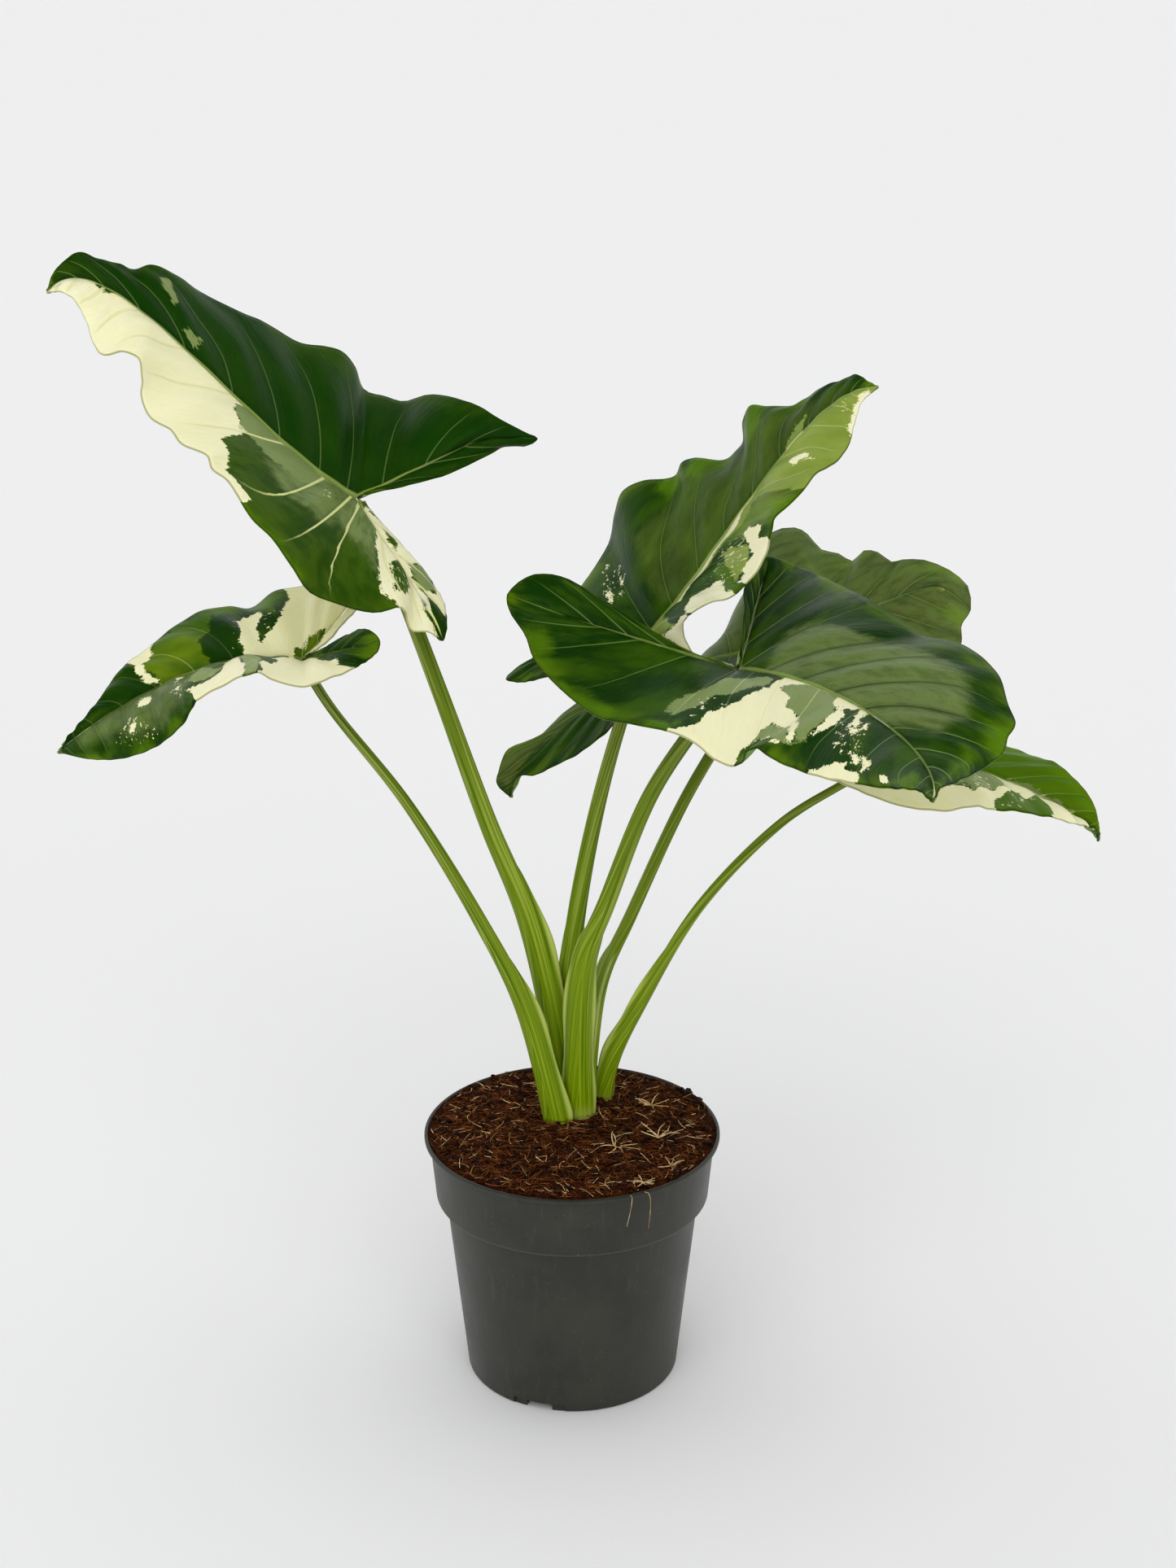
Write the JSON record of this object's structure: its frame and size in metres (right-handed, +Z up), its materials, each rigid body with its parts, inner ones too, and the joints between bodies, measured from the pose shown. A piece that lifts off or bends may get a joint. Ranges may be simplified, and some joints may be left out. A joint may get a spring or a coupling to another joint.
{
  "type": "potted variegated giant taro plant",
  "caption": "Potted aroid house plant: long petioles from a buried corm carry large arrow-shaped variegated blades above a plastic nursery pot of potting mix.",
  "frame": {"origin": "middle of the flat underside of the pot", "axes": "+Z up, -Y towards the viewer of the picture, +X to that viewer's right"},
  "size_m": [0.6186, 0.4275, 0.7179],
  "materials": {
    "pot": "dark grey-green thin moulded polypropylene, satin",
    "potting_mix": "moist red-brown coir and peat with pale straw fibres",
    "corm": "rough fibrous skin with pale roots",
    "blade": "glossy leaf, dark green marbled with cream, pale veins",
    "petiole": "smooth satin yellow-green stalk with paler streaks"
  },
  "bodies": {
    "root": {"pot": "pot", "potting_mix": "potting_mix", "corm": "corm", "blade_low_left": "blade", "petiole_low_left": "petiole", "blade_high_left": "blade", "petiole_high_left": "petiole", "blade_upright": "blade", "petiole_upright": "petiole", "blade_front": "blade", "petiole_front": "petiole", "blade_back": "blade", "petiole_back": "petiole", "blade_low_right": "blade", "petiole_low_right": "petiole"}
  },
  "joints": []
}
